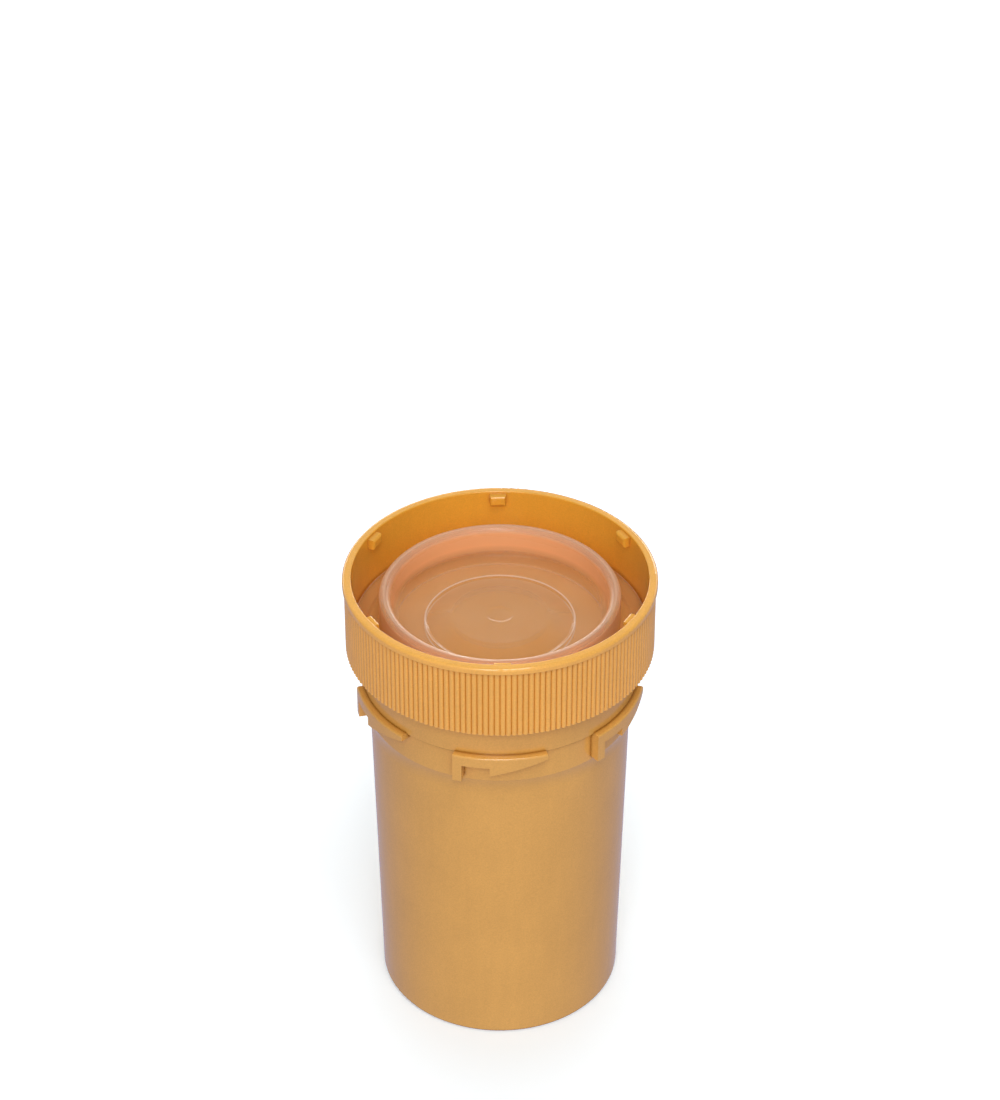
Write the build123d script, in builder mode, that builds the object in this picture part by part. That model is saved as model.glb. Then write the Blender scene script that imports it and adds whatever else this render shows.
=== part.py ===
from build123d import *
import math
import os

# Reversible-cap prescription vial, closed the easy-open way: the cap sits upside down
# and its threaded plug is screwed into the vial's mouth.
# Millimetres, +Z up, origin at the centre of the base that the vial stands on.
# Three mouldings: the vial, the cap, and the liner that is snapped into the cap.
# Angles are in degrees about +Z, and -Y is the front.

# --- corner radii used in several places ---
sharp = 0
edge_break = 0.15
soft_edge = 0.3
soft_corner = 0.5

# --- vial: floor and tapered body ---
foot_radius = 16.91
foot_corner = 0.45
foot_ring_inner_radius = 14.6
base_recess = 0.6
floor_top = 2.0
floor_corner = 1.6
body_wall = 1.25
shoulder_radius = 17.93
shoulder_height = 45.75
shoulder_blend = 7.5

# --- vial: hook band, neck and mouth ---
band_radius = 18.45
band_bottom = 47.05
neck_radius = 18.93
neck_bottom = 51.7
vial_height = 56.93
mouth_radius = 17.35
mouth_bottom = 48.6
mouth_taper = 0.9
mouth_corner = 1.0

# --- vial: bayonet hooks ---
hook_count = 6
hook_radius = 19.93
hook_sink = 0.3
hook_top = 51.8
hook_edge = 0.28
stop_start = -108.6
stop_sweep = 3.6
stop_bottom = 47.55
notch_sweep = 11.0
notch_roof = 50.2
ramp_sweep = 22.8
ramp_low = 48.9
ramp_high = 51.0

# --- cap: plate, skirt and lip ---
cap_bottom = 56.7
cap_height = 67.73
plate_underside = 56.95
plate_top = 58.0
rim_recess_radius = 19.35
skirt_bore = 20.1
lip_radius = 21.3
lip_bottom = 66.73
lip_corner = 0.4

# --- cap: grip ribs, with cusps between them at the skirt wall ---
rib_count = 174
rib_radius = 0.42
knurl_radius = 21.07
skirt_wall_radius = 20.8
rib_overlap = 0.1

# --- cap: inner lugs ---
lug_inner_radius = 19.1
lug_width = 2.2
lug_bottom = 65.85
lug_top = 67.38
lug_edge = 0.35
lug_angle = 0.9

# --- cap: the liner's seat and snap groove ---
seat_inner_radius = 18.4
seat_top = 59.05
snap_groove_radius = 20.35
snap_groove_top = 59.6

# --- cap: plug that screws into the mouth ---
plug_radius = 16.4
plug_bore = 15.2
plug_bottom = 51.3
plug_corner = 0.35

# --- easy-open thread, right hand: the plug's ridge runs just under the vial's ridge ---
thread_pitch = 3.2
plug_ridge_radius = 17.2
plug_ridge_root = 0.8
plug_ridge_crest = 0.4
plug_ridge_start = 52.4
plug_ridge_turns = 1.0
vial_ridge_radius = 16.75
vial_ridge_root = 0.65
vial_ridge_crest = 0.4
vial_ridge_offset = 1.15
vial_ridge_angle = -30
vial_ridge_turns = 0.8
ridge_sink = 0.25

# --- liner ---
liner_wall = 0.9
liner_seat_gap = 0.05
flange_radius = 19.95
flange_top = 60.0
flange_edge = 0.22
snap_bead_radius = 20.25
snap_bead_height = 0.4
ring_outer_radius = 16.4
ring_outer_edge = 0.6
ring_inner_radius = 14.95
ring_inner_edge = 0.8
ring_top = 65.0
dish_floor = 60.4
dish_radius = 14.45
dish_corner = 1.3
groove_outer_radius = 10.22
groove_radius = 9.75
groove_bottom = 60.2
groove_edge = 0.12
button_radius = 6.65
button_top = 61.15
dimple_radius = 1.85
dimple_floor_radius = 1.5
dimple_depth = 0.075
dimple_blend = 2.4


def turned(outline):
    """Solid of revolution about Z from (radius, height, corner radius) points."""
    with BuildPart() as solid:
        with BuildSketch(Plane.XZ):
            with BuildLine():
                points = [(radius, height) for radius, height, corner in outline]
                corners = [corner for radius, height, corner in outline]
                FilletPolyline(*points, radius=corners, close=True)
            make_face()
        revolve(axis=Axis.Z)
    return solid.part


def ring_sector(inner, outer, start, sweep, bottom, top):
    """Wedge of a flat ring between two radii, two angles and two levels."""
    with BuildPart() as wedge:
        with BuildSketch(Plane.XY.offset(bottom)):
            with BuildLine():
                near_arc = CenterArc((0, 0), inner, start, sweep)
                far_arc = CenterArc((0, 0), outer, start, sweep)
                Line(near_arc @ 0, far_arc @ 0)
                Line(near_arc @ 1, far_arc @ 1)
            make_face()
        extrude(amount=top - bottom)
    return wedge.part


def thread_ridge(wall_radius, crest_radius, root_half, crest_half, start_height, turns):
    """Helical ridge from azimuth 0, with a trapezoid section, its root sunk into its wall."""
    outward = 1 if crest_radius > wall_radius else -1
    flank_slope = (root_half - crest_half) / abs(crest_radius - wall_radius)
    sunk_radius = wall_radius - outward * ridge_sink
    sunk_half = root_half + flank_slope * ridge_sink
    with BuildPart() as ridge:
        with BuildLine(Plane.XY.offset(start_height)) as path:
            Helix(thread_pitch, thread_pitch * turns, wall_radius)
        with BuildSketch(Plane.XZ):
            with BuildLine():
                Polyline(
                    (sunk_radius, start_height - sunk_half),
                    (crest_radius, start_height - crest_half),
                    (crest_radius, start_height + crest_half),
                    (sunk_radius, start_height + sunk_half),
                    close=True,
                )
            make_face()
        sweep(path=path.line, is_frenet=True)
    return ridge.part


# --- one bayonet hook: a stop leg, a notch that a cap lug turns into, and a lead-in ramp ---
hook_root = band_radius - hook_sink
notch_start = stop_start + stop_sweep
ramp_start = notch_start + notch_sweep
ramp_middle = math.radians(ramp_start + ramp_sweep / 2)
ramp_half_width = hook_radius * math.sin(math.radians(ramp_sweep / 2))
ramp_slope = (ramp_high - ramp_low) / (2 * ramp_half_width)
ramp_plane = Plane(
    origin=(0, 0, ramp_low),
    x_dir=(-math.sin(ramp_middle), math.cos(ramp_middle), 0),
    z_dir=(math.cos(ramp_middle), math.sin(ramp_middle), 0),
)

with BuildPart() as hook:
    add(ring_sector(hook_root, hook_radius, stop_start, stop_sweep, stop_bottom, hook_top))
    add(ring_sector(hook_root, hook_radius, notch_start, notch_sweep, notch_roof, hook_top))
    add(ring_sector(hook_root, hook_radius, ramp_start, ramp_sweep, ramp_low, hook_top))
    # The ramp's underside rises in a straight slope from the notch to the hook's tip.
    with BuildSketch(ramp_plane):
        with BuildLine():
            Polyline(
                (-ramp_half_width, 0),
                (2 * ramp_half_width, 3 * ramp_half_width * ramp_slope),
                (2 * ramp_half_width, -1),
                (-ramp_half_width, -1),
                close=True,
            )
        make_face()
    extrude(amount=2 * hook_radius, mode=Mode.SUBTRACT)
    top_arcs = hook.edges().group_by(Axis.Z)[-1].filter_by(GeomType.CIRCLE)
    fillet(top_arcs.sort_by(SortBy.RADIUS)[-1], hook_edge)

# --- vial, outlined from the recessed base up the outside and down the inside ---
vial_outline = [
    (0, base_recess, sharp),
    (foot_ring_inner_radius, base_recess, soft_edge),
    (foot_ring_inner_radius + base_recess, 0, sharp),
    (foot_radius, 0, foot_corner),
    (shoulder_radius, shoulder_height, shoulder_blend),
    (band_radius, band_bottom, edge_break),
    (band_radius, neck_bottom - (neck_radius - band_radius), sharp),
    (neck_radius, neck_bottom, sharp),
    (neck_radius, vial_height, soft_edge),
    (mouth_radius, vial_height, soft_edge),
    (mouth_radius, mouth_bottom, soft_corner),
    (shoulder_radius - body_wall, mouth_bottom - mouth_taper, mouth_corner),
    (foot_radius - body_wall, floor_top, floor_corner),
    (0, floor_top, sharp),
]

with BuildPart() as vial:
    add(turned(vial_outline))
    with PolarLocations(0, hook_count):
        add(hook.part)
    vial_ridge_start = plug_ridge_start + vial_ridge_offset + thread_pitch * vial_ridge_angle / 360
    vial_ridge = thread_ridge(
        mouth_radius,
        vial_ridge_radius,
        vial_ridge_root,
        vial_ridge_crest,
        vial_ridge_start,
        vial_ridge_turns,
    )
    add(vial_ridge, rotation=(0, 0, vial_ridge_angle))

# --- cap, outlined from the plug up the outside of the skirt and down to the plate ---
cap_outline = [
    (0, plate_underside, sharp),
    (plug_bore, plate_underside, soft_corner),
    (plug_bore, plug_bottom, edge_break),
    (plug_radius, plug_bottom, plug_corner),
    (plug_radius, plate_underside, soft_edge),
    (rim_recess_radius, plate_underside, sharp),
    (rim_recess_radius + plate_underside - cap_bottom, cap_bottom, sharp),
    (skirt_wall_radius, cap_bottom, sharp),
    (skirt_wall_radius, lip_bottom, sharp),
    (lip_radius, lip_bottom, edge_break),
    (lip_radius, cap_height, lip_corner),
    (skirt_bore, cap_height, edge_break),
    (skirt_bore, snap_groove_top, sharp),
    (snap_groove_radius, snap_groove_top, sharp),
    (snap_groove_radius, seat_top, sharp),
    (seat_inner_radius, seat_top, edge_break),
    (seat_inner_radius, plate_top, soft_edge),
    (0, plate_top, sharp),
]

# --- one inner lug, which catches a hook when the cap is the other way up ---
lug_depth = skirt_bore + lug_edge - lug_inner_radius
with BuildPart(Plane.XY.offset(lug_bottom)) as inner_lug:
    with Locations((0, lug_inner_radius + lug_depth / 2)):
        Box(lug_width, lug_depth, lug_top - lug_bottom, align=(Align.CENTER, Align.CENTER, Align.MIN))
    lug_face = inner_lug.faces().sort_by(Axis.Y)[0]
    fillet(lug_face.edges(), lug_edge)

with BuildPart() as cap:
    add(turned(cap_outline))
    with BuildSketch(Plane.XY.offset(cap_bottom)):
        Circle(skirt_wall_radius)
        with PolarLocations(knurl_radius - rib_radius, rib_count):
            Circle(rib_radius)
        Circle(skirt_wall_radius - rib_overlap, mode=Mode.SUBTRACT)
    extrude(amount=lip_bottom - cap_bottom + rib_overlap)
    with PolarLocations(0, hook_count, lug_angle):
        add(inner_lug.part)
    plug_ridge = thread_ridge(
        plug_radius,
        plug_ridge_radius,
        plug_ridge_root,
        plug_ridge_crest,
        plug_ridge_start,
        plug_ridge_turns,
    )
    add(plug_ridge)

# --- liner, outlined along its underside, round the flange and ring, and in to the button's dimple ---
liner_seat = seat_top + liner_seat_gap
bead_top = liner_seat + snap_bead_height
liner_outline = [
    (0, button_top - liner_wall, sharp),
    (button_radius, button_top - liner_wall, sharp),
    (groove_radius, dish_floor - liner_wall, sharp),
    (dish_radius, dish_floor - liner_wall, sharp),
    (dish_radius, liner_seat, sharp),
    (snap_bead_radius, liner_seat, edge_break),
    (snap_bead_radius, bead_top, edge_break),
    (flange_radius, bead_top, sharp),
    (flange_radius, flange_top, flange_edge),
    (ring_outer_radius, flange_top, soft_edge),
    (ring_outer_radius, ring_top, ring_outer_edge),
    (ring_inner_radius, ring_top, ring_inner_edge),
    (dish_radius, dish_floor, dish_corner),
    (groove_outer_radius, dish_floor, groove_edge),
    (groove_radius, groove_bottom, groove_edge),
    (button_radius, button_top, soft_edge),
    (dimple_radius, button_top, sharp),
    (dimple_floor_radius, button_top - dimple_depth, dimple_blend),
    (0, button_top - dimple_depth, sharp),
]

with BuildPart() as cap_liner:
    add(turned(liner_outline))

os.makedirs("parts", exist_ok=True)
for name, piece in (("vial", vial), ("cap", cap), ("cap_liner", cap_liner)):
    piece.part.label = name
    export_step(piece.part, f"parts/{name}.step")
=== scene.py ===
import math

import bpy
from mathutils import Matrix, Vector


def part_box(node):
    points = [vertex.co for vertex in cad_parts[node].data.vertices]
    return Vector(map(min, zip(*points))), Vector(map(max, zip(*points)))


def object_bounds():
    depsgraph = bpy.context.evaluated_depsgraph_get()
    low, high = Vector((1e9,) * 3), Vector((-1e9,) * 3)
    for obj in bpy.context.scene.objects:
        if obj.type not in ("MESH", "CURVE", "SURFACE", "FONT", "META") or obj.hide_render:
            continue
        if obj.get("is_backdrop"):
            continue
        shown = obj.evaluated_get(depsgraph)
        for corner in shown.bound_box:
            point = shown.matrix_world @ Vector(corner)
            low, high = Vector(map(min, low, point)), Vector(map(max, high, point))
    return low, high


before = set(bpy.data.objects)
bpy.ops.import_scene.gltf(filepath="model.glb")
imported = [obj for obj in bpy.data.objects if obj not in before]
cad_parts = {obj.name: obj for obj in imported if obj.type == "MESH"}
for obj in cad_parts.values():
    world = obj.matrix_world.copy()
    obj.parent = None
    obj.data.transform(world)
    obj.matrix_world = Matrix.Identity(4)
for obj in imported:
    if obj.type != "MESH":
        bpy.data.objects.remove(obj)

# Prescription vial: studio scene and moulded-plastic finishes for the three CAD nodes.
# Everything is in metres, in the frame that the CAD part is packed in; -Y is the front.

MM = 0.001
low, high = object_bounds()
height = high.z

scene = bpy.context.scene
scene.view_settings.view_transform = "Standard"


# --- camera ---
camera_elevation = math.radians(34.88)
camera_distance = 435.4 * MM
aim_above_top = 4.03 * MM
lens_mm = 106.4
sensor_mm = 36

camera_data = bpy.data.cameras.new("camera")
camera_data.lens = lens_mm
camera_data.sensor_width = sensor_mm
camera_data.clip_start = 0.01
camera_data.clip_end = 20
camera = bpy.data.objects.new("camera", camera_data)
away = Vector((0, -math.cos(camera_elevation), math.sin(camera_elevation)))
camera.location = Vector((0, 0, height + aim_above_top)) + away * camera_distance
camera.rotation_euler = (math.radians(90) - camera_elevation, 0, 0)
scene.collection.objects.link(camera)
scene.camera = camera


# --- node helpers ---
def new_material(name):
    material = bpy.data.materials.new(name)
    material.use_nodes = True
    tree = material.node_tree
    return material, tree, tree.nodes["Principled BSDF"]


def place_coordinates(tree):
    return tree.nodes.new("ShaderNodeTexCoord").outputs["Object"]


def height_of(tree, vector):
    """The Z of a position or a direction."""
    separate = tree.nodes.new("ShaderNodeSeparateXYZ")
    tree.links.new(vector, separate.inputs["Vector"])
    return separate.outputs["Z"]


def stretched(tree, coordinates, scale):
    mapping = tree.nodes.new("ShaderNodeMapping")
    mapping.inputs["Scale"].default_value = scale
    tree.links.new(coordinates, mapping.inputs["Vector"])
    return mapping.outputs["Vector"]


def noise(tree, coordinates, feature, detail=2.0, roughness=0.5):
    """Noise from 0 to 1 whose features are about the given size, in metres."""
    texture = tree.nodes.new("ShaderNodeTexNoise")
    texture.inputs["Scale"].default_value = 1 / feature
    texture.inputs["Detail"].default_value = detail
    texture.inputs["Roughness"].default_value = roughness
    tree.links.new(coordinates, texture.inputs["Vector"])
    return texture.outputs["Fac"]


def remapped(tree, value, from_low, from_high, to_low, to_high):
    node = tree.nodes.new("ShaderNodeMapRange")
    node.inputs["From Min"].default_value = from_low
    node.inputs["From Max"].default_value = from_high
    node.inputs["To Min"].default_value = to_low
    node.inputs["To Max"].default_value = to_high
    tree.links.new(value, node.inputs["Value"])
    return node.outputs["Result"]


def varied(tree, texture, low, high):
    """Noise spread from low to high; most of its values lie between 0.3 and 0.7."""
    return remapped(tree, texture, 0.3, 0.7, low, high)


def math_node(tree, operation, first, second):
    node = tree.nodes.new("ShaderNodeMath")
    node.operation = operation
    for socket, value in zip(node.inputs, (first, second)):
        if isinstance(value, (int, float)):
            socket.default_value = value
        else:
            tree.links.new(value, socket)
    return node.outputs["Value"]


def multiplied(tree, first, second):
    return math_node(tree, "MULTIPLY", first, second)


def blended(tree, factor, first, second, blend_type="MIX"):
    """Mix of two colours, each a socket or a plain colour."""
    node = tree.nodes.new("ShaderNodeMix")
    node.data_type = "RGBA"
    node.blend_type = blend_type
    colour_inputs = [s for s in node.inputs if s.type == "RGBA"]
    factor_input = node.inputs["Factor"]
    if isinstance(factor, (int, float)):
        factor_input.default_value = factor
    else:
        tree.links.new(factor, factor_input)
    for socket, value in zip(colour_inputs, (first, second)):
        if isinstance(value, tuple):
            socket.default_value = (*value, 1)
        else:
            tree.links.new(value, socket)
    return [s for s in node.outputs if s.type == "RGBA"][0]


def bump(tree, height_value, distance, normal=None):
    node = tree.nodes.new("ShaderNodeBump")
    node.inputs["Distance"].default_value = distance
    tree.links.new(height_value, node.inputs["Height"])
    if normal is not None:
        tree.links.new(normal, node.inputs["Normal"])
    return node.outputs["Normal"]


def openness(tree, reach, inside=False):
    """Near 1 on open surfaces and lower in corners; inside=True is lower along outer edges instead."""
    node = tree.nodes.new("ShaderNodeAmbientOcclusion")
    node.samples = 6
    node.inside = inside
    node.inputs["Distance"].default_value = reach
    return node.outputs["AO"]


def radius_from_axis(tree, place):
    length = tree.nodes.new("ShaderNodeVectorMath")
    length.operation = "LENGTH"
    tree.links.new(stretched(tree, place, (1, 1, 0)), length.inputs[0])
    return length.outputs["Value"]


def band(tree, value, middle, half_width, fade):
    """1 within half_width of the middle, fading to 0 beyond it."""
    distance = math_node(tree, "ABSOLUTE", math_node(tree, "SUBTRACT", value, middle), 0.0)
    return remapped(tree, distance, half_width, half_width + fade, 1, 0)


# --- moulded amber plastic of the vial and the cap ---
amber_roughness = 0.14
handling = 0.03  # how far handling moves the roughness either way
# The crease colours are painted shade for corners, grooves and the undersides of ledges.
vial_amber, vial_crease_shade = (0.77, 0.405, 0.09), (0.34, 0.12, 0.005)
cap_amber, cap_crease_shade = (0.92, 0.465, 0.09), (0.66, 0.27, 0.035)
# Painted shade and bounce light for the inside of the cap's cup.
cup_shade_and_bounce = (0.85, 0.40, 0.042)


def amber(name, open_colour, crease_shade_colour, cup_shade_and_bounce_colour=None, cup_radius=None):
    material, tree, shader = new_material(name)
    place = place_coordinates(tree)
    clouds = noise(tree, place, feature=9 * MM, detail=3)
    ripple = noise(tree, place, feature=2.2 * MM)
    grain = noise(tree, place, feature=0.2 * MM, detail=1)
    flow = noise(tree, stretched(tree, place, (1, 1, 0.15)), feature=1.2 * MM, detail=3)
    handled = noise(tree, place, feature=5 * MM, detail=4, roughness=0.6)

    colour = open_colour
    if cup_shade_and_bounce_colour is not None:
        # Inside the cup the amber is painted deeper: painted shade and bounce light for the light that
        # reaches it through and off its own walls.
        radius = radius_from_axis(tree, place)
        in_cup = remapped(tree, radius, cup_radius, cup_radius + 0.15 * MM, 1, 0)
        colour = blended(tree, in_cup, open_colour, cup_shade_and_bounce_colour)
    # Painted shade: darker towards the crease colour where occlusion finds corners and grooves.
    crease_shade = remapped(tree, openness(tree, reach=0.55 * MM), 0.45, 0.9, 1, 0)
    colour = blended(tree, crease_shade, colour, crease_shade_colour)
    edge = remapped(tree, openness(tree, reach=0.3 * MM, inside=True), 0.2, 0.7, 1, 0)
    worn = multiplied(tree, edge, remapped(tree, handled, 0.4, 0.65, 0, 0.35))
    worn_colour = tuple(min(1, c * 1.15 + 0.04) for c in open_colour)
    colour = blended(tree, worn, colour, worn_colour)

    shade = varied(tree, clouds, 0.97, 1.03)
    speckle = remapped(tree, grain, 0.25, 0.75, 0.94, 1.06)
    streaks = varied(tree, flow, 0.985, 1.015)
    scaled = tree.nodes.new("ShaderNodeVectorMath")
    scaled.operation = "SCALE"
    tree.links.new(colour, scaled.inputs[0])
    tree.links.new(multiplied(tree, multiplied(tree, shade, speckle), streaks), scaled.inputs["Scale"])
    tree.links.new(scaled.outputs["Vector"], shader.inputs["Base Color"])

    rough = varied(tree, handled, amber_roughness - handling, amber_roughness + handling)
    rough = math_node(tree, "ADD", rough, multiplied(tree, worn, 0.15))
    tree.links.new(rough, shader.inputs["Roughness"])
    shader.inputs["IOR"].default_value = 1.55
    fine = bump(tree, grain, distance=0.01 * MM)
    tree.links.new(bump(tree, ripple, distance=0.02 * MM, normal=fine), shader.inputs["Normal"])
    return material


# --- hazy translucent plastic of the liner ---
ring_middle = 15.7 * MM  # halfway through the sealing ring's wall
ring_foot = 13.9 * MM  # where that wall runs into the dish
groove_edge = 10.2 * MM  # outer edge of the groove round the raised centre
dish_deep, dish_pale = (0.78, 0.46, 0.23), (0.83, 0.51, 0.27)
flange_colour = (0.82, 0.44, 0.17)
# The wall colours are painted light on the steep faces; the crown colour is milky plastic with a
# painted highlight; the ridge and edge colours are painted highlights.
painted_lit_wall_inside, painted_lit_wall_outside = (0.95, 0.46, 0.21), (0.92, 0.56, 0.34)
crown_milk_and_highlight, ridge_highlight_colour = (0.97, 0.65, 0.46), (0.97, 0.72, 0.54)
edge_highlight_colour = (0.97, 0.80, 0.68)


def frosted(name, seat, ring_top):
    material, tree, shader = new_material(name)
    place = place_coordinates(tree)
    haze = noise(tree, place, feature=6 * MM, detail=3)
    grain = noise(tree, place, feature=0.3 * MM, detail=1)

    # Where it is: masks from 0 to 1 for the parts of the shape.
    level = height_of(tree, place)
    radius = radius_from_axis(tree, place)
    normal = tree.nodes.new("ShaderNodeNewGeometry").outputs["Normal"]
    upright = math_node(tree, "ABSOLUTE", height_of(tree, normal), 0.0)
    above_seat = remapped(tree, level, seat + 0.5 * MM, seat + 0.9 * MM, 0, 1)
    crown = remapped(tree, level, ring_top - 0.9 * MM, ring_top - 0.3 * MM, 0, 1)
    risen = remapped(tree, level, ring_top - 4.4 * MM, ring_top - 2.6 * MM, 0.3, 1)
    steep = multiplied(tree, above_seat, remapped(tree, upright, 0.1, 0.97, 1, 0))
    steep = multiplied(tree, steep, risen)
    # Painted highlights: pale lines along the liner's outer edges, found by inside occlusion, and along
    # the groove's edge.
    edge = remapped(tree, openness(tree, reach=0.3 * MM, inside=True), 0.6, 0.95, 1, 0)
    edge = multiplied(tree, above_seat, edge)
    groove_highlight = band(tree, radius, groove_edge, half_width=0.08 * MM, fade=0.1 * MM)
    edge = math_node(tree, "MAXIMUM", edge, multiplied(tree, groove_highlight, 0.95))
    foot = band(tree, radius, ring_foot, half_width=0.5 * MM, fade=0.7 * MM)
    # Painted highlight: a pale band along the middle of the ring's crown.
    ridge_highlight = multiplied(tree, crown, band(tree, radius, ring_middle, half_width=0.1 * MM, fade=0.4 * MM))
    outside = remapped(tree, radius, ring_middle - 0.2 * MM, ring_middle + 0.2 * MM, 0, 1)

    # The walls are painted brighter than the dish, partly because they are seen through their depth and
    # partly as painted light; the edges get painted highlights.
    dish = blended(tree, varied(tree, haze, 0, 1), dish_deep, dish_pale)
    flat = blended(tree, outside, dish, flange_colour)
    painted_lit_wall = blended(tree, outside, painted_lit_wall_inside, painted_lit_wall_outside)
    colour = blended(tree, steep, flat, painted_lit_wall)
    # The crown is painted paler: milkier where the plastic is thick, and a painted highlight.
    colour = blended(tree, multiplied(tree, crown, 0.5), colour, crown_milk_and_highlight)
    colour = blended(tree, multiplied(tree, ridge_highlight, 0.55), colour, ridge_highlight_colour)
    colour = blended(tree, multiplied(tree, edge, 0.7), colour, edge_highlight_colour)
    tree.links.new(colour, shader.inputs["Base Color"])

    rough = varied(tree, haze, 0.10, 0.16)
    rough = math_node(tree, "ADD", rough, multiplied(tree, foot, 0.35))
    tree.links.new(rough, shader.inputs["Roughness"])
    shader.inputs["IOR"].default_value = 1.5

    edge_on = tree.nodes.new("ShaderNodeLayerWeight")
    edge_on.inputs["Blend"].default_value = 0.35
    opacity = remapped(tree, edge_on.outputs["Facing"], 0.2, 0.75, 0.2, 0.95)
    for mask, strength in ((steep, 0.78), (edge, 0.6), (crown, 0.36), (ridge_highlight, 0.5)):
        opacity = math_node(tree, "MAXIMUM", opacity, multiplied(tree, mask, strength))
    tree.links.new(opacity, shader.inputs["Alpha"])
    tree.links.new(bump(tree, grain, distance=0.008 * MM), shader.inputs["Normal"])
    return material


# The cup's bore is a little narrower than the liner's snap bead, which reaches into the cap's groove.
liner_low, liner_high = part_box("cap_liner")
cup_radius = liner_high.x - 0.1 * MM
finishes = {
    "vial": amber("vial_amber", vial_amber, vial_crease_shade),
    "cap": amber("cap_amber", cap_amber, cap_crease_shade, cup_shade_and_bounce, cup_radius),
    "cap_liner": frosted("liner_frosted", liner_low.z, liner_high.z),
}
for node, material in finishes.items():
    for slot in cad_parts[node].material_slots:
        slot.material = material


# --- stage: seen by the camera and shadowed, but not mirrored in the plastic ---
def hide_from_bounces(stage_object):
    stage_object.visible_diffuse = False
    stage_object.visible_glossy = False
    stage_object.visible_transmission = False


# The floor glows, more away from the object than near it: a painted glow that lifts it to white far off
# and leaves it dimmer round the foot, where the shadow falls.
floor_half = 3.0
floor_mesh = bpy.data.meshes.new("floor")
floor_mesh.from_pydata(
    [(x, y, 0) for x, y in ((-1, -1), (1, -1), (1, 1), (-1, 1))], [], [(0, 1, 2, 3)]
)
floor = bpy.data.objects.new("floor", floor_mesh)
floor.scale = (floor_half, floor_half, 1)
scene.collection.objects.link(floor)
floor_material, floor_tree, floor_shader = new_material("floor_white")
floor_shader.inputs["Base Color"].default_value = (0.88, 0.94, 0.99, 1)
floor_shader.inputs["Roughness"].default_value = 0.9
floor_shader.inputs["Emission Color"].default_value = (0.95, 1, 1, 1)
floor_position = floor_tree.nodes.new("ShaderNodeNewGeometry").outputs["Position"]
floor_radius = radius_from_axis(floor_tree, floor_position)
shadow_core, shadow_end = 20 * MM, 60 * MM
# Painted glow: weakest round the foot, full from shadow_end outwards.
painted_floor_glow = remapped(floor_tree, floor_radius, shadow_core, shadow_end, 0.18, 0.42)
floor_tree.links.new(painted_floor_glow, floor_shader.inputs["Emission Strength"])
floor_mesh.materials.append(floor_material)
hide_from_bounces(floor)
floor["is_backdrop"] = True

# The backdrop is a pale wall all round at the floor's edge, which only the camera sees, in low views.
wall_radius, wall_height, wall_sides = 2.9, 3.0, 64
turns = [math.radians(360 * i / wall_sides) for i in range(wall_sides)]
wall_points = [
    (wall_radius * math.cos(turn), wall_radius * math.sin(turn), z)
    for z in (0, wall_height)
    for turn in turns
]
wall_faces = [
    (i, (i + 1) % wall_sides, (i + 1) % wall_sides + wall_sides, i + wall_sides)
    for i in range(wall_sides)
]
wall_mesh = bpy.data.meshes.new("backdrop")
wall_mesh.from_pydata(wall_points, [], wall_faces)
backdrop = bpy.data.objects.new("backdrop", wall_mesh)
scene.collection.objects.link(backdrop)
wall_material, _, wall_shader = new_material("backdrop_white")
wall_shader.inputs["Base Color"].default_value = (0, 0, 0, 1)
wall_shader.inputs["Specular IOR Level"].default_value = 0
wall_shader.inputs["Emission Color"].default_value = (1, 1, 1, 1)
wall_shader.inputs["Emission Strength"].default_value = 1.1
wall_mesh.materials.append(wall_material)
hide_from_bounces(backdrop)
backdrop.visible_shadow = False
backdrop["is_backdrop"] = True


# --- world: a dim room, with broad soft glows in front and behind and a bright low window behind ---
def toward(azimuth, elevation):
    """Unit vector; azimuth 0 is the front (-Y), positive towards +X."""
    a, e = math.radians(azimuth), math.radians(elevation)
    return Vector((math.sin(a) * math.cos(e), -math.cos(a) * math.cos(e), math.sin(e)))


world = bpy.data.worlds.new("studio")
scene.world = world
world.use_nodes = True
world_tree = world.node_tree
direction = world_tree.nodes.new("ShaderNodeTexCoord").outputs["Generated"]


def glow(azimuth, elevation, tightness, strength):
    dot = world_tree.nodes.new("ShaderNodeVectorMath")
    dot.operation = "DOT_PRODUCT"
    dot.inputs[1].default_value = toward(azimuth, elevation)
    world_tree.links.new(direction, dot.inputs[0])
    facing = math_node(world_tree, "MAXIMUM", dot.outputs["Value"], 0.0)
    return multiplied(world_tree, math_node(world_tree, "POWER", facing, tightness), strength)


world_strength = 1.4
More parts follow.
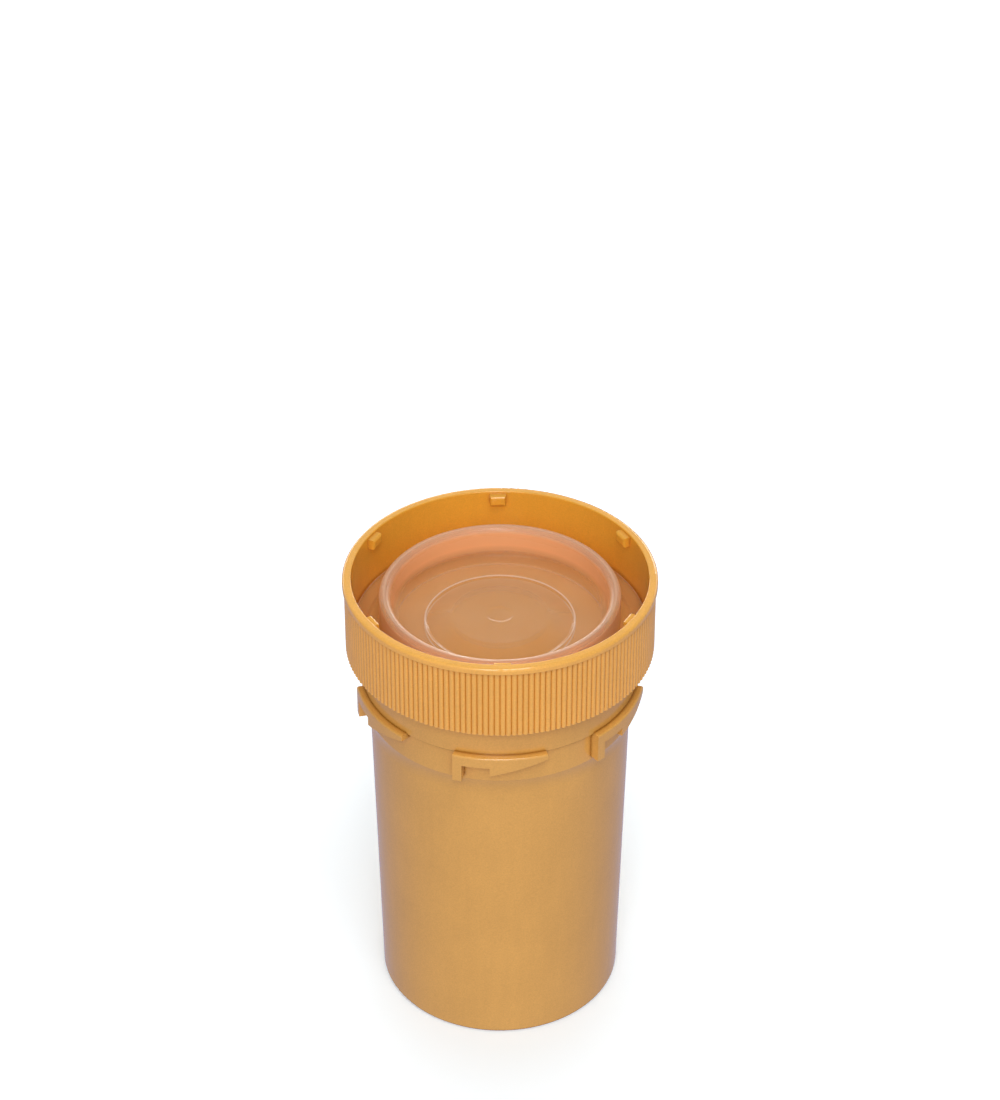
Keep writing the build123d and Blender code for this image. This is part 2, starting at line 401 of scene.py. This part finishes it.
# The room's colour by height, from -1 straight down to 1 straight up.
room_colours = {
    -1.0: (0.36, 0.34, 0.40),
    -0.25: (0.34, 0.30, 0.42),
    0.05: (0.12, 0.12, 0.13),
    0.5: (0.16, 0.16, 0.16),
    0.87: (0.14, 0.14, 0.14),
    1.0: (0.12, 0.12, 0.12),
}
room = world_tree.nodes.new("ShaderNodeValToRGB")
room.color_ramp.interpolation = "EASE"
ramp = room.color_ramp.elements
while len(ramp) < len(room_colours):
    ramp.new(0.5)
for stop, level in zip(ramp, room_colours):
    stop.position = (level + 1) / 2
for stop, shade in zip(ramp, room_colours.values()):
    stop.color = (*shade, 1)
skyward = height_of(world_tree, direction)
world_tree.links.new(remapped(world_tree, skyward, -1, 1, 0, 1), room.inputs["Fac"])

# The window is low, so that it lights the liner's edges over the cup's far wall.
window = multiplied(
    world_tree,
    remapped(world_tree, skyward, 0.05, 0.12, 0, 1),
    remapped(world_tree, skyward, 0.37, 0.42, 1, 0),
)
window_glow = multiplied(world_tree, glow(180, 16, tightness=4, strength=3.9), window)
front_glow = glow(0, 30, tightness=3, strength=0.56)
back_glow = glow(180, 35, tightness=4, strength=0.2)
glows = math_node(world_tree, "ADD", math_node(world_tree, "ADD", front_glow, back_glow), window_glow)
combined = blended(world_tree, 1.0, room.outputs["Color"], glows, "ADD")
world_tree.links.new(combined, world_tree.nodes["Background"].inputs["Color"])
world_tree.nodes["Background"].inputs["Strength"].default_value = world_strength


# --- softboxes: a small one high at the front right, and a broader one in front ---
def softbox(name, azimuth, elevation, distance, size, power):
    data = bpy.data.lights.new(name, "AREA")
    data.shape = "DISK"
    data.size = size
    data.energy = power
    light = bpy.data.objects.new(name, data)
    light.location = Vector((0, 0, height / 2)) + toward(azimuth, elevation) * distance
    light.rotation_euler = (-toward(azimuth, elevation)).to_track_quat("-Z", "Y").to_euler()
    scene.collection.objects.link(light)


softbox("key", azimuth=16, elevation=66, distance=0.8, size=0.25, power=1.2)
softbox("front", azimuth=-4, elevation=42, distance=0.9, size=0.35, power=2.5)

low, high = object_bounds()
